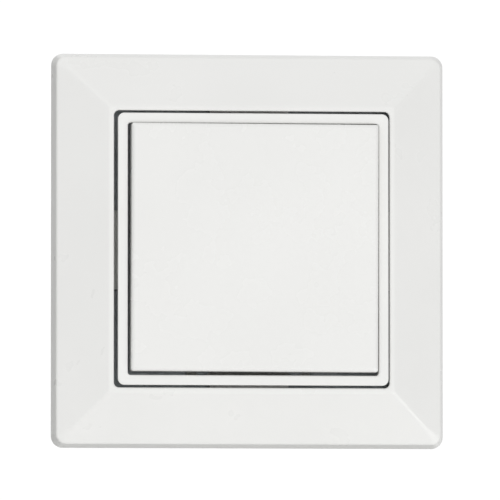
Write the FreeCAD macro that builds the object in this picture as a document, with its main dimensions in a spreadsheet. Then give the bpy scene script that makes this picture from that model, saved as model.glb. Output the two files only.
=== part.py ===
import FreeCAD, Part
import math
import os
import re

import Sketcher
from FreeCAD import Placement, Rotation, Vector

os.makedirs("parts", exist_ok=True)
doc = FreeCAD.newDocument("push_button_light_switch")

# Sizes in mm and degrees. Levels are heights out of the wall, so a depth behind it is negative.
SIZES = [
    ("frame_w", "80"),
    ("frame_corner_r", "3"),
    ("frame_side_h", "3.3"),
    ("frame_draft", "0.9"),
    ("frame_top", "9.1"),
    ("frame_wall", "2"),
    ("frame_skin", "2.4"),
    ("lip_w", "0.9"),
    ("lip_inner_c", "0.4"),
    ("opening_w", "56"),
    ("opening_corner_r", "1"),
    ("opening_wall", "1.8"),
    ("opening_wall_foot", "3"),
    ("frame_rib_t", "1.2"),
    ("frame_rib_x", "18"),
    ("lug_half", "8"),
    ("lug_t", "1.2"),
    ("lug_reach", "1.6"),
    ("bevel_foot", "=frame_w / 2 - frame_draft"),
    ("lip_half", "=opening_w / 2 + lip_w"),
    ("inside_half", "=frame_w / 2 - frame_wall"),
    ("well_half", "=opening_w / 2 + opening_wall"),
    ("bevel_slope", "=(frame_top - frame_side_h) / (bevel_foot - lip_half)"),
    ("under_low", "=frame_side_h + (bevel_foot - inside_half) * bevel_slope - frame_skin"),
    ("under_high", "=under_low + (inside_half - well_half) * bevel_slope"),
    ("bezel_gap", "0.5"),
    ("bezel_bar", "2"),
    ("bezel_rise", "0.6"),
    ("bezel_h", "4.1"),
    ("bezel_corner_r", "1.3"),
    ("bezel_inner_r", "0.7"),
    ("bezel_edge_c", "0.3"),
    ("bezel_w", "=opening_w - 2 * bezel_gap"),
    ("bezel_inner_w", "=bezel_w - 2 * bezel_bar"),
    ("bezel_top", "=frame_top + bezel_rise"),
    ("bezel_foot", "=bezel_top - bezel_h"),
    ("lug_play", "0.2"),
    ("leg_x", "16"),
    ("leg_w", "4.8"),
    ("leg_t", "1.4"),
    ("leg_tip", "0.2"),
    ("leg_play", "0.3"),
    ("leg_z", "=bezel_inner_w / 2 + leg_t / 2"),
    ("plate_gap", "0.4"),
    ("plate_high", "0.25"),
    ("plate_rise", "1.3"),
    ("plate_corner_r", "0.9"),
    ("plate_edge_c", "0.5"),
    ("plate_t", "1.5"),
    ("plate_skirt_h", "5"),
    ("plate_skirt_t", "1.3"),
    ("plate_rib_h", "0.2"),
    ("plate_w", "=bezel_inner_w - 2 * plate_gap"),
    ("plate_top", "=bezel_top + plate_rise"),
    ("plate_under", "=plate_top - plate_t"),
    ("plate_foot", "=plate_top - plate_skirt_h"),
    ("ring_gap", "2.5"),
    ("ring_w", "=frame_w - 2 * frame_wall - 2 * ring_gap"),
    ("ring_t", "1"),
    ("ring_corner_r", "4"),
    ("box_screw_spacing", "60"),
    ("soft_r", "0.3"),
    ("plain_r", "1"),
    ("sink", "0.3"),
    ("box_slot_r", "1.8"),
    ("box_slot_length", "6.4"),
    ("base_half_x", "18.5"),
    ("base_half_z", "20"),
    ("base_depth", "22"),
    ("base_corner_r", "3.5"),
    ("base_rear_c", "1"),
    ("window_gap", "0.3"),
    ("claw_recess", "0.8"),
    ("claw_recess_half_z", "7"),
    ("claw_recess_start", "1.5"),
    ("flange_half_x", "12.5"),
    ("flange_reach", "6"),
    ("flange_half_z", "=base_half_z + flange_reach"),
    ("flange_t", "1.4"),
    ("flange_top", "=ring_t + flange_t"),
    ("rivet_x", "9.5"),
    ("rivet_out", "3.4"),
    ("rivet_z", "=base_half_z + rivet_out"),
    ("rivet_r", "1.2"),
    ("rivet_head_r", "1.9"),
    ("rivet_head_h", "0.6"),
    ("rivet_fit", "0.04"),
    ("cover_t", "1.2"),
    ("cover_inset_x", "2.3"),
    ("cover_inset_z", "0.4"),
    ("cover_half_x", "=base_half_x - cover_inset_x"),
    ("cover_half_z", "=base_half_z - cover_inset_z"),
    ("cover_top", "=flange_top + cover_t"),
    ("cover_screw_inset_x", "3"),
    ("cover_screw_inset_z", "2.2"),
    ("cover_screw_x", "=cover_half_x - cover_screw_inset_x"),
    ("cover_screw_z", "=cover_half_z - cover_screw_inset_z"),
    ("cover_screw_r", "1"),
    ("cover_screw_head_r", "1.9"),
    ("cover_screw_head_h", "1.2"),
    ("cover_screw_length", "8"),
    ("screw_fit", "0.1"),
    ("pivot_level", "7"),
    ("trunnion_r", "1.2"),
    ("trunnion_fit", "0.06"),
    ("tower_wall", "0.7"),
    ("tower_t", "2.9"),
    ("tower_foot_half", "4"),
    ("tower_top_half", "2.3"),
    ("tower_top", "=pivot_level + trunnion_r + trunnion_fit + tower_wall"),
    ("carrier_half_z", "14"),
    ("carrier_t", "1.6"),
    ("carrier_window", "5.5"),
    ("carrier_side_play", "0.3"),
    ("carrier_half_x", "=cover_half_x - tower_t - carrier_side_play"),
    ("carrier_arm_half", "2.2"),
    ("carrier_arm_t", "1.6"),
    ("carrier_top", "=plate_under - plate_rib_h"),
    ("carrier_foot", "=carrier_top - carrier_t"),
    ("tower_in", "=carrier_half_x + carrier_side_play"),
    ("foot_z", "13.5"),
    ("foot_depth", "2"),
    ("foot_inset", "2.5"),
    ("foot_x", "=carrier_half_x - foot_inset"),
    ("foot_w", "3"),
    ("stop_gap", "0.1"),
    ("press_deg", "5"),
    ("plunger_z", "10"),
    ("plunger_half", "2.5"),
    ("plunger_top", "4.6"),
    ("plunger_play", "0.25"),
    ("nose_half_x", "2"),
    ("nose_half_z", "0.8"),
    ("nose_gap", "0.12"),
    ("shoulder_half", "4"),
    ("shoulder_top", "2.2"),
    ("shoulder_t", "1.2"),
    ("stem_r", "1.1"),
    ("stem_depth", "6.5"),
    ("bridge_depth", "1.8"),
    ("bridge_top", "=-bridge_depth"),
    ("bridge_t", "0.8"),
    ("bridge_half_x", "8"),
    ("bridge_half_z", "2.2"),
    ("bridge_hole_r", "1.45"),
    ("bridge_play", "0.05"),
    ("collar_r", "1.9"),
    ("collar_t", "0.8"),
    ("contact_spring_r", "2"),
    ("contact_spring_wire", "0.5"),
    ("return_spring_r", "2.5"),
    ("return_spring_wire", "0.7"),
    ("spring_seat", "0.05"),
    ("tip_x", "6.5"),
    ("tip_r", "1.2"),
    ("tip_t", "0.7"),
    ("contact_gap", "0.8"),
    ("strip_t", "0.8"),
    ("strip_half_z", "1.5"),
    ("strip_gap", "0.7"),
    ("strip_in", "=tip_x - 1.25 * tip_r"),
    ("strip_depth", "14"),
    ("fixed_tip_t", "0.5"),
    ("shoulder_foot", "=shoulder_top - shoulder_t"),
    ("bridge_foot", "=bridge_top - bridge_t"),
    ("tip_foot", "=bridge_foot - tip_t"),
    ("fixed_tip_top", "=tip_foot - contact_gap"),
    ("strip_top", "=fixed_tip_top - fixed_tip_t"),
    ("strip_foot", "=strip_top - strip_t"),
    ("collar_top", "=bridge_foot - bridge_play"),
    ("collar_foot", "=collar_top - collar_t"),
    ("well_depth", "12"),
    ("spring_well_half", "3.4"),
    ("chamber_wall", "4.1"),
    ("chamber_half_x", "=base_half_x - chamber_wall"),
    ("chamber_half_z", "4.5"),
    ("chamber_depth", "15.5"),
    ("wire_inset", "2.6"),
    ("wire_x", "=chamber_half_x - wire_inset"),
    ("wire_r", "1.5"),
    ("strip_out", "=wire_x - wire_r - strip_gap"),
    ("wire_lead_c", "0.35"),
    ("clamp_t", "0.4"),
    ("clamp_half_z", "3.4"),
    ("clamp_top", "5.8"),
    ("clamp_bend", "12.6"),
    ("lever_inset", "2.2"),
    ("lever_x", "=chamber_half_x - lever_inset"),
    ("lever_half_x", "1.2"),
    ("lever_z", "6.9"),
    ("lever_half_z", "1"),
    ("lever_play", "0.15"),
    ("lever_out", "2"),
    ("lever_tip", "12.9"),
    ("claw_screw_out", "3.1"),
    ("claw_screw_x", "=base_half_x + claw_screw_out"),
    ("claw_screw_r", "1.5"),
    ("claw_screw_end", "20"),
    ("claw_screw_head_r", "2.6"),
    ("claw_screw_head_h", "1.6"),
    ("claw_screw_play", "0.25"),
    ("seat_gap", "0.05"),
    ("claw_nut_fit", "0.06"),
    ("claw_nut_play", "0.4"),
    ("claw_nut_in", "=base_half_x - claw_recess + claw_nut_play"),
    ("claw_nut_wall", "0.9"),
    ("claw_nut_out", "=claw_screw_x + claw_screw_r + claw_nut_wall"),
    ("claw_nut_half_z", "5"),
    ("claw_nut_near", "14.8"),
    ("claw_nut_far", "18.2"),
    ("claw_t", "1"),
    ("claw_hinge_out", "2.1"),
    ("claw_hinge_x", "=base_half_x + claw_hinge_out"),
    ("claw_half_z", "5.5"),
    ("claw_fork_half_z", "2.4"),
    ("claw_tab_in_z", "4"),
    ("claw_tab_head_z", "6.8"),
    ("claw_tab_top", "1.9"),
    ("claw_tab_head_h", "0.65"),
    ("claw_shoulder", "2.1"),
    ("claw_knee_out", "6.7"),
    ("claw_knee_x", "=base_half_x + claw_knee_out"),
    ("claw_knee", "14.5"),
    ("claw_tip_out", "7"),
    ("claw_tip_x", "=base_half_x + claw_tip_out"),
    ("claw_tip", "19.5"),
    ("claw_tooth", "1.2"),
    ("claw_slot_play", "0.35"),
]

sheet = doc.addObject("Spreadsheet::Sheet", "dim")
for row, (alias, text) in enumerate(SIZES, start=1):
    sheet.set(f"A{row}", alias)
    sheet.set(f"B{row}", text)
    sheet.setAlias(f"B{row}", alias)
doc.recompute()
ALIASES = {alias for alias, text in SIZES}


def bound(text):
    """The expression with each size named through the sheet."""
    return re.sub(r"[a-z][a-z_]*", lambda m: "dim." + m[0] if m[0] in ALIASES else m[0], text)


def number(text):
    """The present value of an expression of sizes, in mm."""
    found = doc.getObject("dim").evalExpression(bound(text))
    return float(getattr(found, "Value", found))


def new_body(label):
    body = doc.addObject("PartDesign::Body", label)
    body.Label = label
    return body


def new_sketch(body, role, level="0"):
    """An empty sketch on one of the body's own origin planes, moved along its normal to a level."""
    plane = next(f for f in body.Origin.OriginFeatures if f.Role == role)
    sketch = body.newObject("Sketcher::SketchObject", body.Name + "_sketch")
    sketch.AttachmentSupport = (plane, [""])
    sketch.MapMode = "FlatFace"
    sketch.setExpression("AttachmentOffset.Base.z", bound(level))
    return sketch


def anchor(sketch, geometry, point, x, y):
    """Fixes a point's distances from the sketch's origin, each to an expression of sizes."""
    for axis, line, text in (("X", -2, x), ("Y", -1, y)):
        value = number(text)
        if abs(value) < 1e-9:
            sketch.addConstraint(Sketcher.Constraint("PointOnObject", geometry, point, line))
            continue
        ends = (-1, 1, geometry, point) if value > 0 else (geometry, point, -1, 1)
        index = sketch.addConstraint(Sketcher.Constraint("Distance" + axis, *ends, abs(value)))
        sketch.setExpression(f"Constraints[{index}]", bound(text if value > 0 else f"-({text})"))


def set_radius(sketch, geometry, text):
    index = sketch.addConstraint(Sketcher.Constraint("Radius", geometry, number(text)))
    sketch.setExpression(f"Constraints[{index}]", bound(text))


def draw_polygon(sketch, points):
    """A closed outline whose corners are pairs of expressions."""
    at = [Vector(number(x), number(y), 0) for x, y in points]
    first = sketch.GeometryCount
    for i, start in enumerate(at):
        sketch.addGeometry(Part.LineSegment(start, at[(i + 1) % len(at)]))
    for i, (x, y) in enumerate(points):
        following = first + (i + 1) % len(at)
        sketch.addConstraint(Sketcher.Constraint("Coincident", first + i, 2, following, 1))
    for i, (x, y) in enumerate(points):
        anchor(sketch, first + i, 1, x, y)


def draw_box(sketch, x0, x1, y0, y1):
    draw_polygon(sketch, [(x0, y0), (x1, y0), (x1, y1), (x0, y1)])


def draw_circle(sketch, x, y, r):
    centre = Vector(number(x), number(y), 0)
    index = sketch.addGeometry(Part.Circle(centre, Vector(0, 0, 1), number(r)))
    anchor(sketch, index, 3, x, y)
    set_radius(sketch, index, r)


def draw_round_box(sketch, half_x, half_y, r, middle=("0", "0")):
    """A rectangle with rounded corners: four arcs on placed centres, joined by tangent lines."""
    signs = [(1, 1), (-1, 1), (-1, -1), (1, -1)]
    rv = number(r)
    centres = [
        (
            f"{middle[0]} + {sx} * ({half_x} - ({r}))",
            f"{middle[1]} + {sy} * ({half_y} - ({r}))",
        )
        for sx, sy in signs
    ]
    at = [Vector(number(x), number(y), 0) for x, y in centres]
    first = sketch.GeometryCount
    for i, centre in enumerate(at):
        circle = Part.Circle(centre, Vector(0, 0, 1), rv)
        sketch.addGeometry(Part.ArcOfCircle(circle, i * math.pi / 2, (i + 1) * math.pi / 2))
    for i in range(4):
        a = math.pi / 2 * (i + 1)
        turn = Vector(math.cos(a), math.sin(a), 0) * rv
        sketch.addGeometry(Part.LineSegment(at[i] + turn, at[(i + 1) % 4] + turn))
    for i in range(4):
        following = first + (i + 1) % 4
        sketch.addConstraint(Sketcher.Constraint("Tangent", first + i, 2, first + 4 + i, 1))
        sketch.addConstraint(Sketcher.Constraint("Tangent", first + 4 + i, 2, following, 1))
    for i, (x, y) in enumerate(centres):
        anchor(sketch, first + i, 3, x, y)
        set_radius(sketch, first + i, r)


def draw_slot(sketch, middle_x, length, r):
    """A slot that runs along the sketch's x, on its x axis."""
    reach = f"({length} / 2 - {r})"
    ends = [f"{middle_x} + {reach}", f"{middle_x} - {reach}"]
    rv = number(r)
    at = [Vector(number(x), 0, 0) for x in ends]
    first = sketch.GeometryCount
    for i, start in ((0, -math.pi / 2), (1, math.pi / 2)):
        circle = Part.Circle(at[i], Vector(0, 0, 1), rv)
        sketch.addGeometry(Part.ArcOfCircle(circle, start, start + math.pi))
    for i, side in ((0, 1), (1, -1)):
        up = Vector(0, side * rv, 0)
        sketch.addGeometry(Part.LineSegment(at[i] + up, at[1 - i] + up))
    for i in (0, 1):
        sketch.addConstraint(Sketcher.Constraint("Tangent", first + i, 2, first + 2 + i, 1))
        sketch.addConstraint(Sketcher.Constraint("Tangent", first + 2 + i, 2, first + 1 - i, 1))
        anchor(sketch, first + i, 3, ends[i], "0")
        set_radius(sketch, first + i, r)


def extrude(body, kind, sketch, length, reverse=False):
    feature = body.newObject("PartDesign::" + kind, body.Name + "_" + kind.lower())
    feature.Profile = sketch
    feature.setExpression("Length", bound(length))
    feature.Reversed = reverse
    body.Tip = feature
    return feature


def turn_pattern(body, originals, count):
    """Repeats features evenly about the axis that points out of the wall."""
    feature = body.newObject("PartDesign::PolarPattern", body.Name + "_pattern")
    feature.Originals = originals
    axis = next(f for f in body.Origin.OriginFeatures if f.Role == "Y_Axis")
    feature.Axis = (axis, [""])
    feature.Angle = 360
    feature.Occurrences = count
    body.Tip = feature
    return feature


def chamfer_edges(body, amount, wanted):
    """Chamfers those edges of the body's tip that a test on their middle point picks."""
    doc.recompute()
    tip = body.Tip
    names = []
    for i, edge in enumerate(tip.Shape.Edges, start=1):
        middle = edge.valueAt((edge.FirstParameter + edge.LastParameter) / 2)
        if wanted(middle, edge):
            names.append(f"Edge{i}")
    feature = body.newObject("PartDesign::Chamfer", body.Name + "_edges")
    feature.Base = (tip, names)
    feature.setExpression("Size", bound(amount))
    body.Tip = feature
    return feature


def near(a, text):
    return abs(a - number(text)) < 0.02


def cylinder(name, r, length, x, y, z):
    """A cylinder along +Y whose near end lies at a point given by expressions."""
    solid = doc.addObject("Part::Cylinder", name)
    solid.Placement = Placement(Vector(0, 0, 0), Rotation(Vector(1, 0, 0), -90))
    solid.setExpression("Radius", bound(r))
    solid.setExpression("Height", bound(length))
    for axis, text in (("x", x), ("y", y), ("z", z)):
        solid.setExpression(f"Placement.Base.{axis}", bound(text))
    return solid


def gather(label, members):
    whole = doc.addObject("Part::Compound", label)
    whole.Label = label
    whole.Links = members
    return whole


parts = []

# Cover frame: a moulded square frame, its sides drafted and its four faces sloping up to the opening.
frame = new_body("cover_frame")
outline = new_sketch(frame, "XZ_Plane")
draw_round_box(outline, "frame_w / 2", "frame_w / 2", "frame_corner_r")
extrude(frame, "Pad", outline, "frame_top")
hollow = new_sketch(frame, "XZ_Plane")
draw_box(hollow, "-inside_half", "inside_half", "-inside_half", "inside_half")
extrude(frame, "Pocket", hollow, "under_high", reverse=True)
slope = new_sketch(frame, "YZ_Plane", "-inside_half - sink")
draw_polygon(
    slope,
    [
        ("-under_low", "inside_half"),
        ("-under_high", "well_half"),
        ("-(under_high + sink)", "well_half"),
        ("-(under_high + sink)", "inside_half + sink"),
        ("-under_low", "inside_half + sink"),
    ],
)
turn_pattern(frame, [extrude(frame, "Pad", slope, "2 * (inside_half + sink)")], 4)
wedge = new_sketch(frame, "YZ_Plane", "-frame_w / 2 - 1")
draw_polygon(
    wedge,
    [
        ("0", "frame_w / 2 + 1"),
        ("0", "frame_w / 2"),
        ("-frame_side_h", "bevel_foot"),
        ("-frame_top", "lip_half"),
        ("-frame_top - 1", "lip_half"),
        ("-frame_top - 1", "frame_w / 2 + 1"),
    ],
)
turn_pattern(frame, [extrude(frame, "Pocket", wedge, "frame_w + 2", reverse=True)], 4)
well = new_sketch(frame, "XZ_Plane", "opening_wall_foot")
draw_box(well, "-well_half", "well_half", "-well_half", "well_half")
extrude(frame, "Pad", well, "frame_top - opening_wall_foot - frame_skin / 2")
opening = new_sketch(frame, "XZ_Plane", "frame_top")
draw_round_box(opening, "opening_w / 2", "opening_w / 2", "opening_corner_r")
extrude(frame, "Pocket", opening, "frame_top")
rib_pads = []
for side in ("", "-"):
    rib = new_sketch(frame, "YZ_Plane", f"{side}frame_rib_x - frame_rib_t / 2")
    draw_polygon(
        rib,
        [
            ("-(ring_t + leg_play)", "inside_half + frame_wall / 2"),
            ("-(ring_t + leg_play + 0.6)", "inside_half + frame_wall / 2"),
            ("-(under_high + frame_skin / 2)", "well_half - opening_wall / 2"),
            ("-opening_wall_foot", "well_half - opening_wall / 2"),
        ],
    )
    rib_pads.append(extrude(frame, "Pad", rib, "frame_rib_t"))
lug = new_sketch(frame, "XZ_Plane", "bezel_foot - lug_play - lug_t")
draw_box(lug, "-lug_half", "lug_half", "opening_w / 2 - lug_reach", "opening_w / 2 + opening_wall / 2")
lug_pad = extrude(frame, "Pad", lug, "lug_t")
turn_pattern(frame, rib_pads + [lug_pad], 4)
chamfer_edges(
    frame,
    "lip_inner_c",
    lambda m, e: near(-m.y, "frame_top") and max(abs(m.x), abs(m.z)) < number("opening_w / 2 + 0.1"),
)
parts.append(frame)

# Bezel ring: the inner square ring that clips the frame on, with four legs into the support ring.
bezel = new_body("bezel_ring")
band = new_sketch(bezel, "XZ_Plane", "bezel_foot")
draw_round_box(band, "bezel_w / 2", "bezel_w / 2", "bezel_corner_r")
draw_round_box(band, "bezel_inner_w / 2", "bezel_inner_w / 2", "bezel_inner_r")
extrude(bezel, "Pad", band, "bezel_h")
legs = new_sketch(bezel, "XZ_Plane", "leg_tip")
for side in ("", "-"):
    for end in ("", "-"):
        draw_box(
            legs,
            f"{side}leg_x - leg_w / 2",
            f"{side}leg_x + leg_w / 2",
            f"{end}leg_z - leg_t / 2",
            f"{end}leg_z + leg_t / 2",
        )
extrude(bezel, "Pad", legs, "bezel_foot - leg_tip + sink")
chamfer_edges(bezel, "bezel_edge_c", lambda m, e: near(-m.y, "bezel_top"))
parts.append(bezel)

# Push plate: the square button cap, a thin tray with a skirt, seating ribs and two clips.
plate = new_body("push_plate")
face = new_sketch(plate, "XZ_Plane", "plate_foot")
draw_round_box(face, "plate_w / 2", "plate_w / 2", "plate_corner_r", ("0", "plate_high"))
extrude(plate, "Pad", face, "plate_skirt_h")
tray = new_sketch(plate, "XZ_Plane", "plate_foot")
tray_half = "plate_w / 2 - plate_skirt_t"
draw_round_box(tray, tray_half, tray_half, "plate_corner_r", ("0", "plate_high"))
extrude(plate, "Pocket", tray, "plate_skirt_h - plate_t", reverse=True)
ribs = new_sketch(plate, "XZ_Plane", "carrier_top")
for side in ("", "-"):
    draw_box(
        ribs,
        f"{side}(carrier_window + 2.5) - 0.6",
        f"{side}(carrier_window + 2.5) + 0.6",
        "-carrier_half_z + 1",
        "carrier_half_z - 1",
    )
extrude(plate, "Pad", ribs, "plate_rib_h + sink")
for side in ("", "-"):
    clip = new_sketch(plate, "YZ_Plane", "-4")
    hook = "(carrier_half_z + 0.15)"
    draw_polygon(
        clip,
        [
            ("-(plate_under + sink)", f"{side}({hook} + 1)"),
            ("-(plate_under + sink)", f"{side}{hook}"),
            ("-(carrier_foot - 0.1)", f"{side}{hook}"),
            ("-(carrier_foot - 0.1)", f"{side}({hook} - 0.75)"),
            ("-(carrier_foot - 0.9)", f"{side}({hook} + 0.1)"),
            ("-(carrier_foot - 0.9)", f"{side}({hook} + 1)"),
        ],
    )
    extrude(plate, "Pad", clip, "8")
chamfer_edges(plate, "plate_edge_c", lambda m, e: near(-m.y, "plate_top"))
parts.append(plate)

# Button carrier: the rocking yoke that the push plate clips to, with two trunnions.
carrier = new_body("button_carrier")
yoke = new_sketch(carrier, "XZ_Plane", "carrier_foot")
draw_round_box(yoke, "carrier_half_x", "carrier_half_z", "plain_r")
draw_box(yoke, "-carrier_window", "carrier_window", "-carrier_window", "carrier_window")
extrude(carrier, "Pad", yoke, "carrier_t")
arms = new_sketch(carrier, "XZ_Plane", "pivot_level - trunnion_r - plate_rib_h")
draw_box(
    arms, "carrier_half_x - carrier_arm_t", "carrier_half_x", "-carrier_arm_half", "carrier_arm_half"
)
draw_box(
    arms, "-carrier_half_x", "-(carrier_half_x - carrier_arm_t)", "-carrier_arm_half", "carrier_arm_half"
)
extrude(carrier, "Pad", arms, "carrier_foot - pivot_level + trunnion_r + 2 * sink")
stub = "(tower_in + tower_t + carrier_side_play - carrier_half_x)"
for level in ("carrier_half_x - sink", f"-carrier_half_x - {stub}"):
    trunnion = new_sketch(carrier, "YZ_Plane", level)
    draw_circle(trunnion, "-pivot_level", "0", "trunnion_r")
    extrude(carrier, "Pad", trunnion, f"{stub} + sink")
rest_feet = new_sketch(carrier, "XZ_Plane", "cover_top + stop_gap")
stop_level = "cover_top + stop_gap + foot_z * sin(press_deg)"
stop_feet = new_sketch(carrier, "XZ_Plane", stop_level)
for side in ("", "-"):
    across = (f"{side}foot_x - foot_w / 2", f"{side}foot_x + foot_w / 2")
    draw_box(rest_feet, *across, "foot_z - foot_depth", "foot_z")
    draw_box(stop_feet, *across, "-foot_z", "foot_depth - foot_z")
extrude(carrier, "Pad", rest_feet, "carrier_foot + sink - cover_top - stop_gap")
extrude(carrier, "Pad", stop_feet, f"carrier_foot + sink - ({stop_level})")
nose = new_sketch(carrier, "XZ_Plane", "plunger_top + nose_gap")
draw_box(
    nose, "-nose_half_x", "nose_half_x", "-plunger_z - nose_half_z", "-plunger_z + nose_half_z"
)
extrude(carrier, "Pad", nose, "carrier_foot + sink - plunger_top - nose_gap")
parts.append(carrier)

# Support ring: the flat steel ring with box-screw slots, base window, leg, claw and rivet holes.
ring = new_body("support_ring")
blank = new_sketch(ring, "XZ_Plane")
draw_round_box(blank, "ring_w / 2", "ring_w / 2", "ring_corner_r")
extrude(ring, "Pad", blank, "ring_t")
box_slot = new_sketch(ring, "XZ_Plane", "ring_t")
draw_slot(box_slot, "box_screw_spacing / 2", "box_slot_length", "box_slot_r")
slot_cut = extrude(ring, "Pocket", box_slot, "ring_t")
turn_pattern(ring, [slot_cut], 4)
window = new_sketch(ring, "XZ_Plane", "ring_t")
draw_round_box(
    window, "base_half_x + window_gap", "base_half_z + window_gap", "base_corner_r + window_gap"
)
extrude(ring, "Pocket", window, "ring_t")
punch = new_sketch(ring, "XZ_Plane", "ring_t")
for side in ("", "-"):
    draw_circle(punch, f"{side}claw_screw_x", "0", "claw_screw_r + claw_screw_play")
    for end in ("", "-"):
        draw_circle(punch, f"{side}rivet_x", f"{end}rivet_z", "rivet_r + rivet_fit")
        draw_box(
            punch,
            f"{side}leg_x - leg_w / 2 - leg_play",
            f"{side}leg_x + leg_w / 2 + leg_play",
            f"{end}leg_z - leg_t / 2 - leg_play",
            f"{end}leg_z + leg_t / 2 + leg_play",
        )
        draw_box(
            punch,
            f"{side}claw_hinge_x - claw_t / 2 - claw_slot_play",
            f"{side}claw_hinge_x + claw_t / 2 + claw_slot_play",
            f"{end}(claw_tab_in_z - 0.2)",
            f"{end}(claw_half_z + 0.2)",
        )
extrude(ring, "Pocket", punch, "ring_t")
parts.append(ring)

# Base socket: the moulded switch housing with contact well, terminal chambers and wire entries.
base = new_body("base_socket")
block = new_sketch(base, "XZ_Plane", "-base_depth")
draw_round_box(block, "base_half_x", "base_half_z", "base_corner_r")
extrude(base, "Pad", block, "base_depth + flange_top")
chamfer_edges(base, "base_rear_c", lambda m, e: near(-m.y, "-base_depth"))
flange = new_sketch(base, "XZ_Plane", "ring_t")
draw_round_box(flange, "flange_half_x", "flange_half_z", "plain_r")
extrude(base, "Pad", flange, "flange_t")
contact_well = new_sketch(base, "XZ_Plane", "flange_top")
draw_box(
    contact_well,
    "-chamber_half_x",
    "chamber_half_x",
    "-plunger_z - chamber_half_z",
    "-plunger_z + chamber_half_z",
)
extrude(base, "Pocket", contact_well, "flange_top - strip_foot")
deep = new_sketch(base, "XZ_Plane", "strip_foot")
for ends in (("strip_out - strip_t", "chamber_half_x"), ("-chamber_half_x", "-(strip_out - strip_t)")):
    draw_box(deep, *ends, "-plunger_z - chamber_half_z", "-plunger_z + chamber_half_z")
extrude(base, "Pocket", deep, "strip_foot + chamber_depth")
spring_well = new_sketch(base, "XZ_Plane", "strip_foot")
draw_circle(spring_well, "0", "-plunger_z", "spring_well_half")
extrude(base, "Pocket", spring_well, "strip_foot + well_depth")
entries = new_sketch(base, "XZ_Plane", "-base_depth")
for side in ("", "-"):
    draw_circle(entries, f"{side}wire_x", "-plunger_z", "wire_r")
    draw_box(
        entries,
        f"{side}lever_x - lever_half_x - lever_play",
        f"{side}lever_x + lever_half_x + lever_play",
        "-lever_z - lever_half_z - lever_play",
        "-lever_z + lever_half_z + lever_play",
    )
extrude(base, "Pocket", entries, "base_depth - chamber_depth + sink", reverse=True)
recess = new_sketch(base, "XZ_Plane", "-base_depth")
for ends in (
    ("base_half_x - claw_recess", "base_half_x + 1"),
    ("-base_half_x - 1", "claw_recess - base_half_x"),
):
    draw_box(recess, *ends, "-claw_recess_half_z", "claw_recess_half_z")
extrude(base, "Pocket", recess, "base_depth - claw_recess_start", reverse=True)
chamfer_edges(
    base,
    "wire_lead_c",
    lambda m, e: near(-m.y, "-base_depth")
    and hasattr(e.Curve, "Radius")
    and abs(e.Curve.Radius - number("wire_r")) < 0.02,
)
fixings = new_sketch(base, "XZ_Plane", "flange_top")
for side in ("", "-"):
    for end in ("", "-"):
        draw_circle(fixings, f"{side}rivet_x", f"{end}rivet_z", "rivet_r + rivet_fit")
extrude(base, "Pocket", fixings, "flange_t")
screw_holes = new_sketch(base, "XZ_Plane", "flange_top")
draw_circle(screw_holes, "cover_screw_x", "-cover_screw_z", "cover_screw_r + rivet_fit")
draw_circle(screw_holes, "-cover_screw_x", "cover_screw_z", "cover_screw_r + rivet_fit")
extrude(base, "Pocket", screw_holes, "cover_screw_length - cover_t + 0.5")
parts.append(base)

# Mechanism cover: the lid over the contact well, with the two bearing towers and plunger guide.
cover = new_body("mechanism_cover")
lid = new_sketch(cover, "XZ_Plane", "flange_top")
draw_round_box(lid, "cover_half_x", "cover_half_z", "plain_r")
extrude(cover, "Pad", lid, "cover_t")
for level in ("tower_in", "-tower_in - tower_t"):
    tower = new_sketch(cover, "YZ_Plane", level)
    draw_polygon(
        tower,
        [
            ("-(cover_top - sink)", "-tower_foot_half"),
            ("-(cover_top - sink)", "tower_foot_half"),
            ("-pivot_level", "tower_top_half"),
            ("-tower_top", "tower_top_half / 2"),
            ("-tower_top", "-tower_top_half / 2"),
            ("-pivot_level", "-tower_top_half"),
        ],
    )
    draw_circle(tower, "-pivot_level", "0", "trunnion_r + trunnion_fit")
    extrude(cover, "Pad", tower, "tower_t")
guide = new_sketch(cover, "XZ_Plane", "cover_top")
draw_box(
    guide,
    "-plunger_half - plunger_play",
    "plunger_half + plunger_play",
    "-plunger_z - plunger_half - plunger_play",
    "-plunger_z + plunger_half + plunger_play",
)
draw_circle(guide, "cover_screw_x", "-cover_screw_z", "cover_screw_r + screw_fit")
draw_circle(guide, "-cover_screw_x", "cover_screw_z", "cover_screw_r + screw_fit")
extrude(cover, "Pocket", guide, "cover_t")
parts.append(cover)

# Four rivets join the base flange to the ring; two small screws hold the mechanism cover.
rivets = []
for side in ("", "-"):
    for end in ("", "-"):
        at = (f"{side}rivet_x", f"{end}rivet_z")
        top = "-flange_top - rivet_head_h"
        head = cylinder("rivet_head", "rivet_head_r", "rivet_head_h", at[0], top, at[1])
        shank = cylinder("rivet_shank", "rivet_r", "flange_top", at[0], "-flange_top", at[1])
        rivet = doc.addObject("Part::Fuse", "rivet")
        rivet.Base = head
        rivet.Tool = shank
        rivets.append(rivet)
parts.append(gather("ring_rivets", rivets))
screws = []
for side, end in (("", "-"), ("-", "")):
    at = (f"{side}cover_screw_x", f"{end}cover_screw_z")
    top = "-cover_top - cover_screw_head_h"
    head = cylinder("screw_head", "cover_screw_head_r", "cover_screw_head_h", at[0], top, at[1])
    shank = cylinder("screw_shank", "cover_screw_r", "cover_screw_length", at[0], "-cover_top", at[1])
    screw = doc.addObject("Part::Fuse", "cover_screw")
    screw.Base = head
    screw.Tool = shank
    screws.append(screw)
parts.append(gather("cover_screws", screws))

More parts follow.
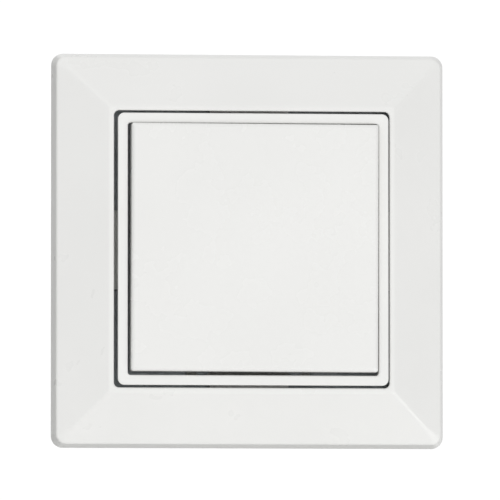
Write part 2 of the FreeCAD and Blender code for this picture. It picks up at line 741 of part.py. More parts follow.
# Plunger: square guide, shoulder under the cover, round stem through the contact bridge.
plunger = new_body("plunger")
shoulder = new_sketch(plunger, "XZ_Plane", "shoulder_foot")
draw_box(
    shoulder,
    "-shoulder_half",
    "shoulder_half",
    "-plunger_z - shoulder_half",
    "-plunger_z + shoulder_half",
)
extrude(plunger, "Pad", shoulder, "shoulder_t")
shaft = new_sketch(plunger, "XZ_Plane", "shoulder_foot")
draw_box(
    shaft, "-plunger_half", "plunger_half", "-plunger_z - plunger_half", "-plunger_z + plunger_half"
)
extrude(plunger, "Pad", shaft, "plunger_top - shoulder_foot")
stem = new_sketch(plunger, "XZ_Plane", "-stem_depth")
draw_circle(stem, "0", "-plunger_z", "stem_r")
extrude(plunger, "Pad", stem, "shoulder_foot + stem_depth + shoulder_t / 2")
collar = new_sketch(plunger, "XZ_Plane", "collar_foot")
draw_circle(collar, "0", "-plunger_z", "collar_r")
extrude(plunger, "Pad", collar, "collar_t")
parts.append(plunger)

# Springs as plain sleeves of the coil's size.
for label, outer, wire, low, high in (
    (
        "contact_spring",
        "contact_spring_r",
        "contact_spring_wire",
        "bridge_top + spring_seat",
        "shoulder_foot - spring_seat",
    ),
    (
        "return_spring",
        "return_spring_r",
        "return_spring_wire",
        "-well_depth + spring_seat",
        "collar_foot - spring_seat",
    ),
):
    coil = new_body(label)
    sleeve = new_sketch(coil, "XZ_Plane", low)
    draw_circle(sleeve, "0", "-plunger_z", outer)
    draw_circle(sleeve, "0", "-plunger_z", f"{outer} - {wire}")
    extrude(coil, "Pad", sleeve, f"{high} - ({low})")
    parts.append(coil)

# Contact bridge: a flat bar with tapered ends and a silver contact at each end.
bridge = new_body("contact_bridge")
bar = new_sketch(bridge, "XZ_Plane", "bridge_foot")
bar_z = "-plunger_z"
draw_polygon(
    bar,
    [
        ("bridge_half_x", f"{bar_z} - tip_r"),
        ("bridge_half_x", f"{bar_z} + tip_r"),
        ("contact_spring_r + 1", f"{bar_z} + bridge_half_z"),
        ("-(contact_spring_r + 1)", f"{bar_z} + bridge_half_z"),
        ("-bridge_half_x", f"{bar_z} + tip_r"),
        ("-bridge_half_x", f"{bar_z} - tip_r"),
        ("-(contact_spring_r + 1)", f"{bar_z} - bridge_half_z"),
        ("contact_spring_r + 1", f"{bar_z} - bridge_half_z"),
    ],
)
draw_circle(bar, "0", bar_z, "bridge_hole_r")
extrude(bridge, "Pad", bar, "bridge_t")
parts.append(bridge)
for label, thickness, top in (
    ("bridge_tips", "tip_t", "bridge_foot"),
    ("fixed_tips", "fixed_tip_t", "fixed_tip_top"),
):
    buttons = [
        cylinder(label + "_button", "tip_r", thickness, f"{side}tip_x", f"-({top})", "-plunger_z")
        for side in ("", "-")
    ]
    parts.append(gather(label, buttons))


def handed(points, side):
    """The outline on the left or the right half."""
    return [(f"{side}({x})", y) for x, y in points]


for hand, side in (("right", ""), ("left", "-")):
    # Fixed contact: a bent brass strip, a pad under the bridge and a leg into the chamber.
    fixed = new_body("fixed_contact_" + hand)
    strip = new_sketch(fixed, "XY_Plane", "-plunger_z - strip_half_z")
    draw_polygon(
        strip,
        handed(
            [
                ("strip_in", "-strip_top"),
                ("strip_out", "-strip_top"),
                ("strip_out", "strip_depth"),
                ("strip_out - strip_t", "strip_depth"),
                ("strip_out - strip_t", "-strip_foot"),
                ("strip_in", "-strip_foot"),
            ],
            side,
        ),
    )
    extrude(fixed, "Pad", strip, "2 * strip_half_z")
    parts.append(fixed)

    # Clamp spring: a leaf folded to a V that presses the wire against the strip.
    clamp = new_body("clamp_spring_" + hand)
    leaf = new_sketch(clamp, "XY_Plane", "-plunger_z - clamp_half_z")
    wall = "(chamber_half_x - 0.3)"
    draw_polygon(
        leaf,
        handed(
            [
                (wall, "clamp_top"),
                (wall, "chamber_depth - 0.4"),
                (f"{wall} - clamp_t", "chamber_depth - 0.4"),
                (f"{wall} - clamp_t", "clamp_top + 1.4"),
                ("strip_out + clamp_t * 1.6", "clamp_bend"),
                ("strip_out + clamp_t * 0.7", "clamp_bend - clamp_t"),
                (f"{wall} - clamp_t - 0.6", "clamp_top"),
            ],
            side,
        ),
    )
    extrude(clamp, "Pad", leaf, "2 * clamp_half_z")
    parts.append(clamp)

    # Release lever: a sliding key in the rear wall that lifts the clamp spring off the wire.
    lever = new_body("release_lever_" + hand)
    key = new_sketch(lever, "XZ_Plane", "-(base_depth + lever_out)")
    draw_box(
        key,
        f"{side}lever_x - lever_half_x",
        f"{side}lever_x + lever_half_x",
        "-lever_z - lever_half_z",
        "-lever_z + lever_half_z",
    )
    extrude(lever, "Pad", key, "base_depth + lever_out - lever_tip")
    parts.append(lever)

    # Claw: a folded steel fork that hangs in the ring by two tabs and swings out.
    claw = new_body("claw_" + hand)
    profile = new_sketch(claw, "XY_Plane", "-claw_half_z")
    draw_polygon(
        profile,
        handed(
            [
                ("claw_hinge_x + claw_t / 2", "-claw_tab_top"),
                ("claw_hinge_x + claw_t / 2", "claw_shoulder"),
                ("claw_knee_x + claw_t / 2", "claw_knee"),
                ("claw_tip_x + claw_t / 2", "claw_tip - 1"),
                ("claw_tip_x + claw_t / 2 + claw_tooth", "claw_tip"),
                ("claw_tip_x - claw_t / 2", "claw_tip"),
                ("claw_knee_x - claw_t / 2", "claw_knee"),
                ("claw_hinge_x - claw_t / 2", "claw_shoulder"),
                ("claw_hinge_x - claw_t / 2", "-claw_tab_top"),
            ],
            side,
        ),
    )
    extrude(claw, "Pad", profile, "2 * claw_half_z")
    fork_level = "claw_tip_x + 5" if side == "" else "-(claw_hinge_x - 5)"
    fork = new_sketch(claw, "YZ_Plane", fork_level)
    draw_polygon(
        fork,
        [
            ("-claw_tab_top - 1", "-claw_tab_in_z"),
            ("claw_shoulder", "-claw_tab_in_z"),
            ("claw_shoulder", "-claw_fork_half_z"),
            ("claw_knee + claw_t / 2", "-claw_fork_half_z"),
            ("claw_knee + claw_t / 2", "claw_fork_half_z"),
            ("claw_shoulder", "claw_fork_half_z"),
            ("claw_shoulder", "claw_tab_in_z"),
            ("-claw_tab_top - 1", "claw_tab_in_z"),
        ],
    )
    extrude(claw, "Pocket", fork, "claw_tip_x - claw_hinge_x + 10")
    head_level = "claw_hinge_x - claw_t / 2" if side == "" else "-(claw_hinge_x + claw_t / 2)"
    tab_head = new_sketch(claw, "YZ_Plane", head_level)
    for end in ("", "-"):
        draw_box(
            tab_head,
            "-claw_tab_top",
            "claw_tab_head_h - claw_tab_top",
            f"{end}(claw_half_z - 0.5)",
            f"{end}claw_tab_head_z",
        )
    extrude(claw, "Pad", tab_head, "claw_t")
    parts.append(claw)

    # Claw screw: a turned screw with a low head on the ring's face.
    claw_screw = new_body("claw_screw_" + hand)
    turned = new_sketch(claw_screw, "XY_Plane")
    draw_polygon(
        turned,
        [
            ("0", "-(ring_t + seat_gap + claw_screw_head_h)"),
            ("claw_screw_head_r", "-(ring_t + seat_gap + claw_screw_head_h)"),
            ("claw_screw_head_r", "-(ring_t + seat_gap)"),
            ("claw_screw_r", "-(ring_t + seat_gap)"),
            ("claw_screw_r", "claw_screw_end"),
            ("0", "claw_screw_end"),
        ],
    )
    lathe = claw_screw.newObject("PartDesign::Revolution", "claw_screw_turned")
    lathe.Profile = turned
    lathe.ReferenceAxis = (turned, ["V_Axis"])
    lathe.Angle = 360
    claw_screw.Tip = lathe
    claw_screw.setExpression("Placement.Base.x", bound(f"{side}claw_screw_x"))
    parts.append(claw_screw)

    # Claw nut: the wedge nut that climbs the screw and spreads the claw.
    nut = new_body("claw_nut_" + hand)
    wedge = new_sketch(nut, "XZ_Plane", "-claw_nut_far")
    ends = ("claw_nut_in", "claw_nut_out") if side == "" else ("-claw_nut_out", "-claw_nut_in")
    draw_box(wedge, *ends, "-claw_nut_half_z", "claw_nut_half_z")
    draw_circle(wedge, f"{side}claw_screw_x", "0", "claw_screw_r + claw_nut_fit")
    extrude(nut, "Pad", wedge, "claw_nut_far - claw_nut_near")
    parts.append(nut)

doc.recompute()
for item in doc.Objects:
    if "Invalid" in item.State or "Error" in item.State:
        raise RuntimeError(f"{item.Label} did not build: {item.State}")
for item in parts:
    if item.Shape.isNull() or not item.Shape.isValid():
        raise RuntimeError(f"{item.Label} is not a valid solid")
for item in parts:
    item.Shape.exportStep(f"parts/{item.Label}.step")
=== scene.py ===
"""Push button light switch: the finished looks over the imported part.
Metres, +X right, +Y into the wall, +Z up; the tables of sizes below are in millimetres."""
import math

import bmesh
import bpy
import numpy as np
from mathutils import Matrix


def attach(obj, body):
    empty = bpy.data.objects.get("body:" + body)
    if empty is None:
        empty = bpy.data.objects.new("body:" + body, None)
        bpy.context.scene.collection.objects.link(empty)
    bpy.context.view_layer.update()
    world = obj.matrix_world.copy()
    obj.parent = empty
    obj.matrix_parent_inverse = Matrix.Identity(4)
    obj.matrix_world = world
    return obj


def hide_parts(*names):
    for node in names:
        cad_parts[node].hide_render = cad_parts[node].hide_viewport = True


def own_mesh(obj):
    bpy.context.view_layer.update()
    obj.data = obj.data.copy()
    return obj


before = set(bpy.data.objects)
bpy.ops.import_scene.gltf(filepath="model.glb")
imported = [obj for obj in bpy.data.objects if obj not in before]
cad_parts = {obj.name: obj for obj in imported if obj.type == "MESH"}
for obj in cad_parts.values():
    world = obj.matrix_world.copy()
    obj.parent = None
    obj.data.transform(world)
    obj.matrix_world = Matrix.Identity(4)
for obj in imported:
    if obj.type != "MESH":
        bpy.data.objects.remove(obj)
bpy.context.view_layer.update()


# Cover frame: one injection moulding in glossy white polycarbonate. Four sloping faces meet in soft
# mitres over drafted sides, the opening is undercut behind its rolled lip, and ribs and four lugs
# stand behind.

def arc(corner, ua, ub, radius, step):
    """The points that round a corner between unit vectors ua and ub along its two sides.

    With t the angle between the sides, the arc touches them at radius / tan(t / 2), and its centre
    lies on their bisector at radius / sin(t / 2). The point at share u is the centre plus the arms
    p and q to both ends, weighed by sin((1 - u) s) / sin(s) and sin(u s) / sin(s), where the sweep
    s is 180 degrees less t. step is the most degrees between two points."""
    t = math.acos(float(np.clip(ua @ ub, -1, 1)))
    sweep = math.pi - t
    middle = corner + (ua + ub) / np.linalg.norm(ua + ub) * radius / math.sin(t / 2)
    cut = radius / math.tan(t / 2)
    p, q = corner + ua * cut - middle, corner + ub * cut - middle
    u = np.linspace(0, 1, max(2, math.ceil(math.degrees(sweep) / step)) + 1)[:, None]
    return middle + (np.sin((1 - u) * sweep) * p + np.sin(u * sweep) * q) / math.sin(sweep)


def softened(corners):
    """The closed outline through corners (half width, height, corner radius, edge radius).

    Each corner is rounded by an arc of its edge radius, along which the corner radius changes
    evenly. A point more on each side, lead mm past the arc and at most 0.4 of the flat, keeps the
    shading of the flats level."""
    lead, most, step = 0.15, 0.4, 9.0
    at = np.array([c[:3] for c in corners], float)
    edge = np.array([c[3] for c in corners], float)
    side = np.roll(at, -1, axis=0) - at
    reach = np.hypot(side[:, 0], side[:, 1])
    unit = side / reach[:, None]
    t = np.arccos(np.clip(-(np.roll(unit, 1, axis=0) * unit)[:, :2].sum(axis=1), -1, 1))
    cut = edge / np.tan(t / 2)
    spare = np.minimum(lead, most * (reach - cut - np.roll(cut, -1)))
    points = []
    for i, here in enumerate(at):
        if edge[i] == 0:
            points.append(here)
            continue
        ua, ub = -unit[i - 1], unit[i]
        first, last = here + ua * cut[i], here + ub * cut[i]
        flat = arc(here[:2], ua[:2], ub[:2], edge[i], step)
        points.append(first + ua * spare[i - 1])
        points.extend(np.column_stack([flat, np.linspace(first[2], last[2], len(flat))]))
        points.append(last + ub * spare[i])
    return np.array(points)


def square_sweep(outline, middle=(0.0, 0.0), turned=0.0):
    """The grid that an outline (half width h, height, corner radius r) leaves round a square.

    Each quarter turns by 90 degrees about the corner centre (h - r, h - r) and then runs straight
    to the next one, with points at the given shares of half that run. turned is in degrees,
    clockwise seen from the front."""
    arc_steps = 10
    shares = np.array([-0.985, -0.6, -0.2, 0.2, 0.6, 0.985])
    half, height, r = (outline[:, i, None] for i in range(3))
    across, up = [], []
    for quarter in range(4):
        start = quarter * math.pi / 2
        angle = start + np.linspace(0, math.pi / 2, arc_steps + 1)
        side_x = math.copysign(1, math.cos(start + math.pi / 4))
        side_z = math.copysign(1, math.sin(start + math.pi / 4))
        across.append(side_x * (half - r) + r * np.cos(angle))
        up.append(side_z * (half - r) + r * np.sin(angle))
        nx, nz = round(math.cos(angle[-1])), round(math.sin(angle[-1]))
        across.append(nx * half - nz * (half - r) * shares)
        up.append(nz * half + nx * (half - r) * shares)
    x, z = np.hstack(across), np.hstack(up)
    c, s = math.cos(math.radians(-turned)), math.sin(math.radians(-turned))
    x, z = x * c - z * s + middle[0], x * s + z * c + middle[1]
    return np.stack([x, np.broadcast_to(-height, x.shape), z], axis=-1)


def grid_skin(points, closed=True):
    """The points of a grid and its quads. It closes in its second direction, and where closed is
    true in its first one too."""
    m, n = points.shape[:2]
    i, j = np.meshgrid(np.arange(m if closed else m - 1), np.arange(n), indexing="ij")
    k, l = (i + 1) % m, (j + 1) % n
    quads = np.stack([i * n + j, k * n + j, k * n + l, i * n + l], axis=-1).reshape(-1, 4)
    return points.reshape(-1, 3), quads.tolist()


def bar(outline, axis, low, high):
    """A straight bar from low to high along an axis (0 x, 1 y, 2 z). Its outline gives the other
    two coordinates, in their order."""
    flat = np.array(outline, float)
    n = len(flat)
    ends = np.concatenate([np.insert(flat, axis, at, axis=1) for at in (low, high)])
    sides = [[i, (i + 1) % n, n + (i + 1) % n, n + i] for i in range(n)]
    return ends, sides + [list(range(n)), list(range(n, 2 * n))]


def quarters(points, faces):
    """The same form at all four sides of the square: (x, z) turned to (c x - s z, s x + c z)."""
    return [(points @ np.array([[c, 0, s], [0, 1, 0], [-s, 0, c]]), faces)
            for c, s in ((1, 0), (0, 1), (-1, 0), (0, -1))]


def shell(name, forms, finish, crease=35.0):
    """A mesh of closed forms (points in mm, faces), with its faces outward, smooth up to an angle
    of crease degrees. Points nearer than a ten-thousandth of a millimetre become one."""
    starts = np.cumsum([0] + [len(points) for points, _ in forms]).tolist()
    faces = [[start + i for i in face] for start, form in zip(starts, forms) for face in form[1]]
    mesh = bpy.data.meshes.new(name)
    mesh.from_pydata((np.concatenate([form[0] for form in forms]) * 0.001).tolist(), [], faces)
    body = bmesh.new()
    body.from_mesh(mesh)
    bmesh.ops.remove_doubles(body, verts=body.verts, dist=1e-7)
    bmesh.ops.recalc_face_normals(body, faces=body.faces)
    body.to_mesh(mesh)
    body.free()
    mesh.shade_smooth()
    mesh.set_sharp_from_angle(angle=math.radians(crease))
    mesh.materials.append(finish)
    return mesh


def made(mesh):
    """The mesh as an object of the scene, under its own name."""
    piece = bpy.data.objects.new(mesh.name, mesh)
    bpy.context.scene.collection.objects.link(piece)
    return piece


def linear(hexcode):
    """The scene-linear colour of an sRGB hex code."""
    channels = [int(hexcode[i:i + 2], 16) / 255 for i in (1, 3, 5)]
    return (*(c / 12.92 if c <= 0.04045 else ((c + 0.055) / 1.055) ** 2.4 for c in channels), 1.0)


def add(tree, kind, links=(), stops=(), **settings):
    """A node with its settings. links gives an input a value or another node's output, and stops
    gives a ramp its two tones, each a place and an sRGB hex code."""
    node = tree.nodes.new("ShaderNode" + kind)
    for key, value in settings.items():
        setattr(node, key, value)
    for key, value in dict(links).items():
        if isinstance(value, bpy.types.NodeSocket):
            tree.links.new(value, node.inputs[key])
        else:
            node.inputs[key].default_value = value
    if stops:
        for stop, (place, code) in zip(node.color_ramp.elements, stops):
            stop.position, stop.color = place, linear(code)
    return node


def resin(name, light, dark, gloss, grain_mm, relief_um, speckle=0.0):
    """A moulded resin: flow marks in the tone over centimetres, orange peel or spark-eroded grain
    in the bump, and a gloss that wanders between two roughnesses. speckle is the strength of glass
    fibres near the surface, drawn 0.6 mm coarse because real ones are too fine to show."""
    flow_mm, wander_mm, fibre_mm = 21, 7, 0.6
    skin = bpy.data.materials.new(name)
    skin.use_nodes = True
    tree = skin.node_tree
    tree.nodes.clear()
    place = add(tree, "TexCoord").outputs["Object"]
    flow = add(tree, "TexNoise", {"Vector": place, "Scale": 1000 / flow_mm, "Detail": 2.0,
                                  "Roughness": 0.4})
    tone = add(tree, "ValToRGB", {"Fac": flow.outputs["Fac"]}, ((0.32, dark), (0.68, light)))
    colour = tone.outputs["Color"]
    if speckle:
        fibre = add(tree, "TexNoise", {"Vector": place, "Scale": 1000 / fibre_mm, "Detail": 3.0})
        spots = add(tree, "ValToRGB", {"Fac": fibre.outputs["Fac"]},
                    ((0.38, "#9c9c98"), (0.56, "#ffffff")))
        # a Mix node's colours go in at 6 and 7 and come out at 2
        mix = add(tree, "Mix", {0: speckle, 6: colour, 7: spots.outputs["Color"]},
                  data_type="RGBA", blend_type="MULTIPLY")
        colour = mix.outputs[2]
    wander = add(tree, "TexNoise", {"Vector": place, "Scale": 1000 / wander_mm, "Detail": 3.0})
    rough = add(tree, "MapRange", {"Value": wander.outputs["Fac"], "From Min": 0.3, "From Max": 0.7,
                                   "To Min": gloss[0], "To Max": gloss[1]})
    peel = add(tree, "TexNoise", {"Vector": place, "Scale": 1000 / grain_mm, "Detail": 2.0})
    bump = add(tree, "Bump", {"Strength": 1.0, "Distance": relief_um * 1e-6,
                              "Height": peel.outputs["Fac"]})
    face = add(tree, "BsdfPrincipled", {"Base Color": colour, "Roughness": rough.outputs["Result"],
                                        "Normal": bump.outputs["Normal"], "IOR": 1.5})
    add(tree, "OutputMaterial", {"Surface": face.outputs["BSDF"]})
    return skin


# glossy white polycarbonate: bright and even, with the faint orange peel of a polished mould
frame_white = resin("gloss_polycarbonate_frame", "#f1f1ef", "#efefed", (0.27, 0.31), 0.9, 1.3)
frame_shell = square_sweep(softened([
    (40, 0, 2.4, 0), (39.2, 3.3, 2.0, 0.9),                                # side, crest
    (36.2, 4.99, 0.6, 0), (28.9, 9.1, 0.6, 1.5),                           # bevel
    (28.0, 9.1, 1.05, 0.34), (28.0, 8.5, 1.05, 0.1),                       # lip
    (28.9, 7.8, 1.2, 0.1), (28.9, 3.0, 1.2, 0.3), (29.8, 3.0, 1.2, 0.3),   # wall of the opening
    (29.8, 6.19, 1.2, 0.3), (38.0, 1.53, 1.0, 0.4), (38.0, 0, 1.0, 0.2),   # hollow back
]))
# a lug carries the bezel at 5.4 mm and is sunk to 3.75 mm where the shadow gap looks down on it
lug_half, rib_half, rib_from_middle = 8, 0.6, 18
lug_side = [(-5.4, 26.4), (-5.4, 26.8), (-3.75, 27.25), (-3.75, 29.2),
            (-3.05, 29.2), (-3.05, 27.1), (-4.3, 26.4)]
rib_side = [(-1.3, 39), (-1.9, 39), (-7.3, 28.9), (-3.1, 28.9)]
lugs = quarters(*bar(lug_side, 0, -lug_half, lug_half))
ribs = [form for x in (-rib_from_middle, rib_from_middle)
        for form in quarters(*bar(rib_side, 0, x - rib_half, x + rib_half))]
cover_frame = made(shell(
    "cover_frame_moulding", [grid_skin(frame_shell)] + lugs + ribs, frame_white))
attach(cover_frame, "housing")
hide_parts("cover_frame")


# Bezel ring: a thin square bar of the same white resin between frame and plate, rebated below its
# rim. It drops over the frame's lugs, clips it to the steel ring with four legs, and sits to the
# right in its play, so the shadow line is wide at the left and all but closed at the right.

# the same resin from a finer mould: a shade brighter and glossier than the frame
bezel_white = resin("gloss_polycarbonate_bezel", "#f3f3f1", "#f1f1ef", (0.22, 0.27), 0.9, 1.3)
bezel_play, leg_half, leg_from_middle = 0.24, 2.4, 16
bezel_band = square_sweep(softened([
    (26.7, 5.6, 1.3, 0.2), (26.7, 8.1, 1.3, 0.1),                          # rebate
    (27.5, 8.9, 1.3, 0.1), (27.5, 9.7, 1.3, 0.3),                          # rim
    (25.5, 9.7, 0.6, 0.36), (25.5, 5.6, 0.6, 0.2),                         # inner face
]), middle=(bezel_play, 0.0))
leg_side = [(-5.9, 26.0), (-5.9, 26.9), (-0.9, 26.9), (-0.2, 26.6), (-0.2, 26.2), (-0.9, 26.0)]
legs = [bar([(y, end * z) for y, z in leg_side], 0, x - leg_half, x + leg_half)
        for x in (-leg_from_middle, leg_from_middle) for end in (-1, 1)]
bezel_ring = made(shell(
    "bezel_ring_moulding", [grid_skin(bezel_band)] + legs, bezel_white))
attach(bezel_ring, "housing")
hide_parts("bezel_ring")


# Push plate: the square cap that a finger presses, a shallow tray 1.5 mm thick with a skirt. It sits
# high and to the right in its play and a trace askew, as in the photograph.

# the same resin once more: its wide flat face shows the peel of the mould best
plate_white = resin("gloss_polycarbonate_plate", "#f1f1ef", "#efefed", (0.25, 0.29), 1.0, 1.2)
pole = 1e-5     # so near its axis, a ring of points becomes one in shell()
plate_tray = square_sweep(softened([
    (pole, 11.0, pole, 0), (14, 11.0, 0.45, 0), (25.05, 11.0, 0.45, 0.85),  # face
    (25.1, 6.0, 0.45, 0.25), (23.8, 6.0, 0.5, 0.25),                        # skirt
    (23.8, 9.5, 0.5, 0.5), (14, 9.5, 0.5, 0), (pole, 9.5, pole, 0),         # underside
]), middle=(0.5, 0.31), turned=0.15)
# two ribs rest the cap on the carrier, and two hooks hold it there
seat_ribs = [bar([(x - 0.6, -9.3), (x + 0.6, -9.3), (x + 0.6, -9.7), (x - 0.6, -9.7)], 2, -13, 13)
             for x in (-8, 8)]
hook = [(-9.8, 15.15), (-9.8, 14.15), (-7.6, 14.15), (-7.6, 13.4), (-6.8, 14.25), (-6.8, 15.15)]
hooks = [bar([(y, end * z) for y, z in hook], 0, -4, 4) for end in (-1, 1)]
push_plate = made(shell(
    "push_plate_moulding", [grid_skin(plate_tray, closed=False)] + seat_ribs + hooks, plate_white))
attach(push_plate, "button")
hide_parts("push_plate")


# Button carrier: the rocking yoke under the plate, moulded in a tough grey polyamide that runs
# without grease on its two trunnions. Its edges are broken as the mould leaves them.

def edge_softener():
    """A node group that shades a welded mesh smooth, but sharp at each edge where its faces meet
    at more than crease degrees."""
    crease = 32
    group = bpy.data.node_groups.new("shade_by_angle", "GeometryNodeTree")
    for way in ("INPUT", "OUTPUT"):
        group.interface.new_socket("Geometry", in_out=way, socket_type="NodeSocketGeometry")
    entry, leave = group.nodes.new("NodeGroupInput"), group.nodes.new("NodeGroupOutput")
    angle = group.nodes.new("GeometryNodeInputMeshEdgeAngle")
    steep = group.nodes.new("FunctionNodeCompare")
    steep.operation = "GREATER_THAN"
    steep.inputs[1].default_value = math.radians(crease)
    faces, edges = (group.nodes.new("GeometryNodeSetShadeSmooth") for _ in range(2))
    faces.domain, edges.domain = "FACE", "EDGE"
    faces.inputs["Shade Smooth"].default_value = True
    edges.inputs["Shade Smooth"].default_value = False
    for out, into in ((entry.outputs[0], faces.inputs["Geometry"]),
                      (faces.outputs[0], edges.inputs["Geometry"]),
                      (angle.outputs["Unsigned Angle"], steep.inputs[0]),
                      (steep.outputs[0], edges.inputs["Selection"]),
                      (edges.outputs[0], leave.inputs[0])):
        group.links.new(out, into)
    return group


shade_by_angle = edge_softener()


def dressed(node, finish, edge_mm):
    """A CAD solid that stays: its finish, its triangles welded, its edges broken by edge_mm."""
    weld_m, breaks_above = 1e-6, 44
    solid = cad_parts[node]
    solid.data.materials.clear()
    solid.data.materials.append(finish)
    weld = solid.modifiers.new("weld", "WELD")
    weld.merge_threshold = weld_m
    broken = solid.modifiers.new("broken_edges", "BEVEL")
    broken.width = edge_mm * 0.001
    broken.segments = 2
    broken.limit_method = "ANGLE"
    broken.angle_limit = math.radians(breaks_above)
    broken.use_clamp_overlap = True
    shade = solid.modifiers.new("shade_by_angle", "NODES")
    shade.node_group = shade_by_angle
    # wide faces lead their corners' normals, so that they shade flat up to the broken edges
    flat = solid.modifiers.new("flat_faces", "WEIGHTED_NORMAL")
    flat.mode, flat.weight, flat.keep_sharp = "FACE_AREA", 50, True


# grey polyamide: dull, a little waxy, with a fine eroded grain
carrier_grey = resin("polyamide_grey", "#9b9d9d", "#929494", (0.42, 0.52), 0.25, 4.0)
dressed("button_carrier", carrier_grey, 0.12)


# Support ring: blanked from 1 mm steel strip and zinc plated, so its face keeps the strip's rolling
# lines under a bluish, faintly clouded plating. Four rivets hold the housing's flange to it.

def plated(name, light, dark, gloss, cloud_mm, line_ratio, relief_um):
    """A plated or drawn metal: clouds in the tone, and fine lines drawn out along X in the gloss
    and the bump, line_ratio times as long as wide. They are drawn 0.3 mm wide, coarser than real
    ones, so that they show. gloss is the least and the most roughness."""
    line_mm = 0.3
    skin = bpy.data.materials.new(name)
    skin.use_nodes = True
    tree = skin.node_tree
    tree.nodes.clear()
    place = add(tree, "TexCoord").outputs["Object"]
    cloud = add(tree, "TexNoise", {"Vector": place, "Scale": 1000 / cloud_mm, "Detail": 4.0,
                                   "Roughness": 0.55})
    tone = add(tree, "ValToRGB", {"Fac": cloud.outputs["Fac"]}, ((0.3, dark), (0.7, light)))
    drawn = add(tree, "Mapping", {"Vector": place, "Scale": (1 / line_ratio, 1.0, 1.0)})
    lines = add(tree, "TexNoise", {"Vector": drawn.outputs["Vector"], "Scale": 1000 / line_mm,
                                   "Detail": 3.0})
    rough = add(tree, "MapRange", {"Value": lines.outputs["Fac"], "From Min": 0.3, "From Max": 0.7,
                                   "To Min": gloss[0], "To Max": gloss[1]})
    bump = add(tree, "Bump", {"Strength": 1.0, "Distance": relief_um * 1e-6,
                              "Height": lines.outputs["Fac"]})
    face = add(tree, "BsdfPrincipled", {"Base Color": tone.outputs["Color"], "Metallic": 1.0,
                                        "Roughness": rough.outputs["Result"],
                                        "Normal": bump.outputs["Normal"]})
    add(tree, "OutputMaterial", {"Surface": face.outputs["BSDF"]})
    return skin


# zinc on rolled strip: mid grey and half dull, with long fine lines along the strip
zinc_strip = plated("zinc_plated_strip", "#b2b6b9", "#9da2a6", (0.3, 0.44), 2.2, 14, 3.0)
dressed("support_ring", zinc_strip, 0.1)
# zinc on turned steel: lighter and duller, without lines
zinc_turned = plated("zinc_plated_turned", "#bfc3c6", "#a6abaf", (0.38, 0.52), 1.2, 1, 2.0)
dressed("ring_rivets", zinc_turned, 0.15)


# Base socket: the housing behind the wall, moulded in light grey glass-filled polyamide, with two
# wire entries and two key slots in its rear wall.

# glass-filled polyamide: matt, and faintly speckled by its fibres
base_grey = resin("glass_filled_polyamide", "#d3d2cc", "#c9c8c2", (0.48, 0.6), 0.35, 7.0,
                  speckle=0.2)
dressed("base_socket", base_grey, 0.18)


# Mechanism cover: the lid over the contact well with its two bearing towers, black polyamide, held
# by two small plated screws on one diagonal.

# black polyamide: a dark satin grey, never quite black
lid_black = resin("polyamide_black", "#2c2d2e", "#262728", (0.4, 0.5), 0.3, 4.0)
dressed("mechanism_cover", lid_black, 0.12)
dressed("cover_screws", zinc_turned, 0.12)


# Plunger and its two coils: a white acetal stem that the yoke's nose pushes in, a return coil under
# its collar and a light coil that lets it travel on once the contacts have closed.

# acetal: milky white and smooth, glossier than polyamide
acetal_white = resin("acetal_white", "#e9e9e4", "#e2e2dc", (0.3, 0.4), 0.4, 2.0)
dressed("plunger", acetal_white, 0.12)


def coil(outer_r, wire, low, high, turns, middle):
    """A wound spring with closed ends between two heights along Y, its axis at middle (x, z).

    The height follows the integral of a pitch that a smooth step, 3 u u - 2 u u u, eases to the
    wire's thickness over the first and the last turn. Round each point of that line stands a
    circle, worked out from the radius and the normal to radius and line."""
    around, per_turn, closed_turns, closed_pitch = 10, 28, 0.6, 0.98 * wire
    s = np.linspace(0, 1, int(turns * per_turn) + 1)
    u = np.clip(np.minimum(s, 1 - s) * turns - closed_turns, 0, 1)
    pitch = u * u * (3 - 2 * u)
    rise = np.concatenate([[0], np.cumsum((pitch[1:] + pitch[:-1]) / 2)])
    free = high - low - wire - closed_pitch * turns
    y = low + wire / 2 + closed_pitch * turns * s + free * rise / rise[-1]
    a = s * turns * 2 * math.pi
    r = outer_r - wire / 2
    line = np.stack([r * np.cos(a), y, r * np.sin(a)], axis=-1)
    along = np.gradient(line, axis=0)
    along /= np.linalg.norm(along, axis=1, keepdims=True)
    out = np.stack([np.cos(a), np.zeros_like(a), np.sin(a)], axis=-1)
    side = np.cross(along, out)
    line, out, side = (np.concatenate([v[:1], v, v[-1:]]) for v in (line, out, side))
    thick = np.concatenate([[pole], np.full(len(s), wire / 2), [pole]])
    ring = np.linspace(0, 2 * math.pi, around, endpoint=False)[None, :, None]
    skin = np.cos(ring) * out[:, None] + np.sin(ring) * side[:, None]
    points = line[:, None] + thick[:, None, None] * skin
    return grid_skin(points + np.array([middle[0], 0, middle[1]]), closed=False)


# hard-drawn spring wire: darker than plated steel, bright along its drawing lines
spring_wire = plated("spring_wire", "#a7a9aa", "#8d8f91", (0.22, 0.34), 0.9, 3, 1.5)
return_coil = made(shell(
    "return_coil", [coil(2.5, 0.7, 3.5, 11.95, 6.5, (0, -10))], spring_wire, 60))
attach(return_coil, "housing")
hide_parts("return_spring")
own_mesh(return_coil)
travel_coil = made(shell(
    "overtravel_coil", [coil(2.0, 0.5, -0.95, 1.75, 3.5, (0, -10))], spring_wire, 60))
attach(travel_coil, "plunger")
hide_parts("contact_spring")
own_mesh(travel_coil)


# Contacts: a moving bar and two bent strips stamped from brass, with riveted silver contact pads.

# rolled brass: warm yellow, with the rolling lines left in its gloss
brass_strip = plated("rolled_brass", "#cba85c", "#b9954b", (0.24, 0.36), 3.0, 12, 2.0)
dressed("contact_bridge", brass_strip, 0.08)
dressed("fixed_contact_right", brass_strip, 0.08)
dressed("fixed_contact_left", brass_strip, 0.08)
